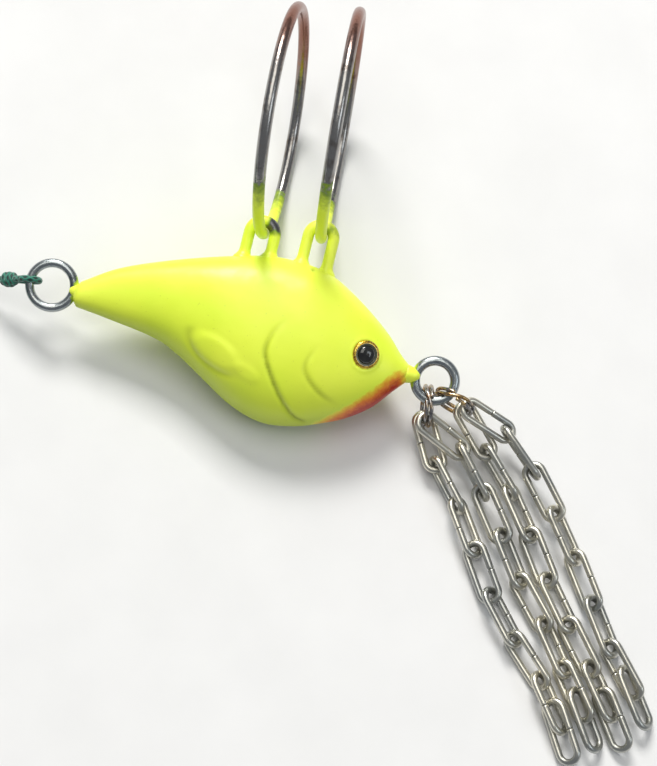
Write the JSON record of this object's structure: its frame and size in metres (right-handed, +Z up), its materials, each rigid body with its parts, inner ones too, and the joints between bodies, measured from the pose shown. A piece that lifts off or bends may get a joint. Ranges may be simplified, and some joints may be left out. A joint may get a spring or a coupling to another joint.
{
  "type": "lure retriever",
  "caption": "Fish-shaped cast lead weight with line rings on its back, grab chains at the nose and a pull cord at the tail, for freeing snagged lures.",
  "frame": {"origin": "middle of the small flat on the left flank that the body rests on", "axes": "+X from the tail eye to the nose eye, +Y towards the back of the fish and the line rings, +Z up from the surface it lies on"},
  "size_m": [0.2036, 0.1261, 0.045],
  "materials": {
    "chartreuse_paint": "gloss",
    "eye_wire_steel": "bright wire",
    "line_ring_steel": "tarnished, polished",
    "split_ring_steel": "bright spring wire",
    "chain_steel": "nickel plated, satin",
    "iris_foil": "gold foil under gloss",
    "pupil_gloss": "gloss",
    "cord_green": "braided",
    "tie_black": "woven tape"
  },
  "bodies": {
    "root": {"cast_body": "chartreuse_paint", "tail_eye": "eye_wire_steel", "nose_eye": "eye_wire_steel", "rear_eyelet": "chartreuse_paint", "front_eyelet": "chartreuse_paint", "iris_left": "iris_foil", "iris_right": "iris_foil", "pupil_left": "pupil_gloss", "pupil_right": "pupil_gloss", "cord_loop": "cord_green", "cord_knot": "cord_green", "cord_lead": "cord_green", "cord_coil": "cord_green", "coil_tie": "tie_black", "cord_tail": "cord_green", "end_knot": "cord_green"},
    "rear_ring": {"rear_line_ring": "line_ring_steel"},
    "front_ring": {"front_line_ring": "line_ring_steel"},
    "split_ring_left": {"split_ring_left": "split_ring_steel"},
    "split_ring_right": {"split_ring_right": "split_ring_steel"},
    "chain_1_link_1": {"chain_1_link_1": "chain_steel"},
    "chain_1_link_2": {"chain_1_link_2": "chain_steel"},
    "chain_1_link_3": {"chain_1_link_3": "chain_steel"},
    "chain_1_link_4": {"chain_1_link_4": "chain_steel"},
    "chain_1_link_5": {"chain_1_link_5": "chain_steel"},
    "chain_1_link_6": {"chain_1_link_6": "chain_steel"},
    "chain_1_link_7": {"chain_1_link_7": "chain_steel"},
    "chain_1_link_8": {"chain_1_link_8": "chain_steel"},
    "chain_2_link_1": {"chain_2_link_1": "chain_steel"},
    "chain_2_link_2": {"chain_2_link_2": "chain_steel"},
    "chain_2_link_3": {"chain_2_link_3": "chain_steel"},
    "chain_2_link_4": {"chain_2_link_4": "chain_steel"},
    "chain_2_link_5": {"chain_2_link_5": "chain_steel"},
    "chain_2_link_6": {"chain_2_link_6": "chain_steel"},
    "chain_2_link_7": {"chain_2_link_7": "chain_steel"},
    "chain_2_link_8": {"chain_2_link_8": "chain_steel"},
    "chain_3_link_1": {"chain_3_link_1": "chain_steel"},
    "chain_3_link_2": {"chain_3_link_2": "chain_steel"},
    "chain_3_link_3": {"chain_3_link_3": "chain_steel"},
    "chain_3_link_4": {"chain_3_link_4": "chain_steel"},
    "chain_3_link_5": {"chain_3_link_5": "chain_steel"},
    "chain_3_link_6": {"chain_3_link_6": "chain_steel"},
    "chain_3_link_7": {"chain_3_link_7": "chain_steel"},
    "chain_3_link_8": {"chain_3_link_8": "chain_steel"},
    "chain_4_link_1": {"chain_4_link_1": "chain_steel"},
    "chain_4_link_2": {"chain_4_link_2": "chain_steel"},
    "chain_4_link_3": {"chain_4_link_3": "chain_steel"},
    "chain_4_link_4": {"chain_4_link_4": "chain_steel"},
    "chain_4_link_5": {"chain_4_link_5": "chain_steel"},
    "chain_4_link_6": {"chain_4_link_6": "chain_steel"},
    "chain_4_link_7": {"chain_4_link_7": "chain_steel"},
    "chain_4_link_8": {"chain_4_link_8": "chain_steel"}
  },
  "joints": [
    {"name": "rear_ring_swing", "type": "hinge", "parent": "root", "child": "rear_ring", "pos_m": [-0.0097, 0.02574, 0.01597], "axis": [1, 0, 0], "range_deg": [-45, 45]},
    {"name": "front_ring_swing", "type": "hinge", "parent": "root", "child": "front_ring", "pos_m": [0.0013, 0.02755, 0.01656], "axis": [1, 0, 0], "range_deg": [-45, 45]},
    {"name": "split_ring_left_slide", "type": "hinge", "parent": "root", "child": "split_ring_left", "pos_m": [0.0289, 0.0052, 0.0093], "axis": [0, -0.309, 0.9511], "range_deg": [-40, 0]},
    {"name": "split_ring_right_slide", "type": "hinge", "parent": "root", "child": "split_ring_right", "pos_m": [0.0289, 0.0052, 0.0093], "axis": [0, -0.309, 0.9511], "range_deg": [0, 40]},
    {"name": "chain_1_hinge_1", "type": "hinge", "parent": "split_ring_left", "child": "chain_1_link_1", "pos_m": [0.02914, -0.00166, 0.00331], "axis": [-0.8829, -0.4695, 0], "range_deg": [-30, 0]},
    {"name": "chain_1_hinge_2", "type": "hinge", "parent": "chain_1_link_1", "child": "chain_1_link_2", "pos_m": [0.033, -0.00891, 0.0028], "axis": [-0.766, -0.6428, 0], "range_deg": [-15, 15]},
    {"name": "chain_1_hinge_3", "type": "hinge", "parent": "chain_1_link_2", "child": "chain_1_link_3", "pos_m": [0.03872, -0.01573, 0.00248], "axis": [-0.8387, -0.5446, 0], "range_deg": [-15, 15]},
    {"name": "chain_1_hinge_4", "type": "hinge", "parent": "chain_1_link_3", "child": "chain_1_link_4", "pos_m": [0.04357, -0.0232, 0.0023], "axis": [-0.848, -0.5299, 0], "range_deg": [-15, 15]},
    {"name": "chain_1_hinge_5", "type": "hinge", "parent": "chain_1_link_4", "child": "chain_1_link_5", "pos_m": [0.0484, -0.03093, 0.00221], "axis": [-0.766, -0.6428, 0], "range_deg": [-15, 15]},
    {"name": "chain_1_hinge_6", "type": "hinge", "parent": "chain_1_link_5", "child": "chain_1_link_6", "pos_m": [0.05426, -0.03791, 0.00216], "axis": [-0.7071, -0.7071, 0], "range_deg": [-15, 15]},
    {"name": "chain_1_hinge_7", "type": "hinge", "parent": "chain_1_link_6", "child": "chain_1_link_7", "pos_m": [0.06056, -0.04421, 0.00213], "axis": [-0.809, -0.5878, 0], "range_deg": [-15, 15]},
    {"name": "chain_1_hinge_8", "type": "hinge", "parent": "chain_1_link_7", "child": "chain_1_link_8", "pos_m": [0.06474, -0.04996, 0.00212], "axis": [-0.866, -0.5, 0], "range_deg": [-6, 6]},
    {"name": "chain_2_hinge_1", "type": "hinge", "parent": "split_ring_left", "child": "chain_2_link_1", "pos_m": [0.02932, -0.00265, 0.00694], "axis": [-0.3584, -0.9336, 0], "range_deg": [0, 30]},
    {"name": "chain_2_hinge_2", "type": "hinge", "parent": "chain_2_link_1", "child": "chain_2_link_2", "pos_m": [0.03705, -0.00562, 0.00481], "axis": [-0.7547, -0.6561, 0], "range_deg": [-15, 15]},
    {"name": "chain_2_hinge_3", "type": "hinge", "parent": "chain_2_link_2", "child": "chain_2_link_3", "pos_m": [0.04283, -0.01228, 0.00357], "axis": [-0.809, -0.5878, 0], "range_deg": [-15, 15]},
    {"name": "chain_2_hinge_4", "type": "hinge", "parent": "chain_2_link_3", "child": "chain_2_link_4", "pos_m": [0.04806, -0.01946, 0.00289], "axis": [-0.829, -0.5592, 0], "range_deg": [-15, 15]},
    {"name": "chain_2_hinge_5", "type": "hinge", "parent": "chain_2_link_4", "child": "chain_2_link_5", "pos_m": [0.05315, -0.02701, 0.00252], "axis": [-0.7547, -0.6561, 0], "range_deg": [-15, 15]},
    {"name": "chain_2_hinge_6", "type": "hinge", "parent": "chain_2_link_5", "child": "chain_2_link_6", "pos_m": [0.05912, -0.03388, 0.00232], "axis": [-0.809, -0.5878, 0], "range_deg": [-15, 15]},
    {"name": "chain_2_hinge_7", "type": "hinge", "parent": "chain_2_link_6", "child": "chain_2_link_7", "pos_m": [0.06436, -0.04109, 0.00222], "axis": [-0.809, -0.5878, 0], "range_deg": [-15, 15]},
    {"name": "chain_2_hinge_8", "type": "hinge", "parent": "chain_2_link_7", "child": "chain_2_link_8", "pos_m": [0.06854, -0.04684, 0.00218], "axis": [-0.848, -0.5299, 0], "range_deg": [-6, 6]},
    {"name": "chain_3_hinge_1", "type": "hinge", "parent": "split_ring_right", "child": "chain_3_link_1", "pos_m": [0.03628, 0.00197, 0.00455], "axis": [-0.7314, -0.682, 0], "range_deg": [-30, 0]},
    {"name": "chain_3_hinge_2", "type": "hinge", "parent": "chain_3_link_1", "child": "chain_3_link_2", "pos_m": [0.04202, -0.00418, 0.00348], "axis": [-0.7314, -0.682, 0], "range_deg": [-15, 15]},
    {"name": "chain_3_hinge_3", "type": "hinge", "parent": "chain_3_link_2", "child": "chain_3_link_3", "pos_m": [0.04808, -0.01068, 0.00285], "axis": [-0.809, -0.5878, 0], "range_deg": [-15, 15]},
    {"name": "chain_3_hinge_4", "type": "hinge", "parent": "chain_3_link_3", "child": "chain_3_link_4", "pos_m": [0.05331, -0.01789, 0.0025], "axis": [-0.8387, -0.5446, 0], "range_deg": [-15, 15]},
    {"name": "chain_3_hinge_5", "type": "hinge", "parent": "chain_3_link_4", "child": "chain_3_link_5", "pos_m": [0.05827, -0.02552, 0.00231], "axis": [-0.7986, -0.6018, 0], "range_deg": [-15, 15]},
    {"name": "chain_3_hinge_6", "type": "hinge", "parent": "chain_3_link_5", "child": "chain_3_link_6", "pos_m": [0.06375, -0.0328, 0.00221], "axis": [-0.788, -0.6157, 0], "range_deg": [-15, 15]},
    {"name": "chain_3_hinge_7", "type": "hinge", "parent": "chain_3_link_6", "child": "chain_3_link_7", "pos_m": [0.06924, -0.03982, 0.00216], "axis": [-0.809, -0.5878, 0], "range_deg": [-15, 15]},
    {"name": "chain_3_hinge_8", "type": "hinge", "parent": "chain_3_link_7", "child": "chain_3_link_8", "pos_m": [0.07342, -0.04557, 0.00214], "axis": [-0.8387, -0.5446, 0], "range_deg": [-6, 6]},
    {"name": "chain_4_hinge_1", "type": "hinge", "parent": "split_ring_right", "child": "chain_4_link_1", "pos_m": [0.03703, 0.00175, 0.00793], "axis": [-0.2419, -0.9703, 0], "range_deg": [0, 30]},
    {"name": "chain_4_hinge_2", "type": "hinge", "parent": "chain_4_link_1", "child": "chain_4_link_2", "pos_m": [0.0448, -0.00019, 0.00541], "axis": [-0.6561, -0.7547, 0], "range_deg": [-15, 15]},
    {"name": "chain_4_hinge_3", "type": "hinge", "parent": "chain_4_link_2", "child": "chain_4_link_3", "pos_m": [0.05143, -0.00595, 0.00389], "axis": [-0.766, -0.6428, 0], "range_deg": [-15, 15]},
    {"name": "chain_4_hinge_4", "type": "hinge", "parent": "chain_4_link_3", "child": "chain_4_link_4", "pos_m": [0.05713, -0.01274, 0.00307], "axis": [-0.809, -0.5878, 0], "range_deg": [-15, 15]},
    {"name": "chain_4_hinge_5", "type": "hinge", "parent": "chain_4_link_4", "child": "chain_4_link_5", "pos_m": [0.06248, -0.0201, 0.00262], "axis": [-0.8387, -0.5446, 0], "range_deg": [-15, 15]},
    {"name": "chain_4_hinge_6", "type": "hinge", "parent": "chain_4_link_5", "child": "chain_4_link_6", "pos_m": [0.06744, -0.02774, 0.00237], "axis": [-0.8387, -0.5446, 0], "range_deg": [-15, 15]},
    {"name": "chain_4_hinge_7", "type": "hinge", "parent": "chain_4_link_6", "child": "chain_4_link_7", "pos_m": [0.07229, -0.03521, 0.00225], "axis": [-0.766, -0.6428, 0], "range_deg": [-15, 15]},
    {"name": "chain_4_hinge_8", "type": "hinge", "parent": "chain_4_link_7", "child": "chain_4_link_8", "pos_m": [0.07686, -0.04066, 0.00219], "axis": [-0.8387, -0.5446, 0], "range_deg": [-6, 6]}
  ]
}
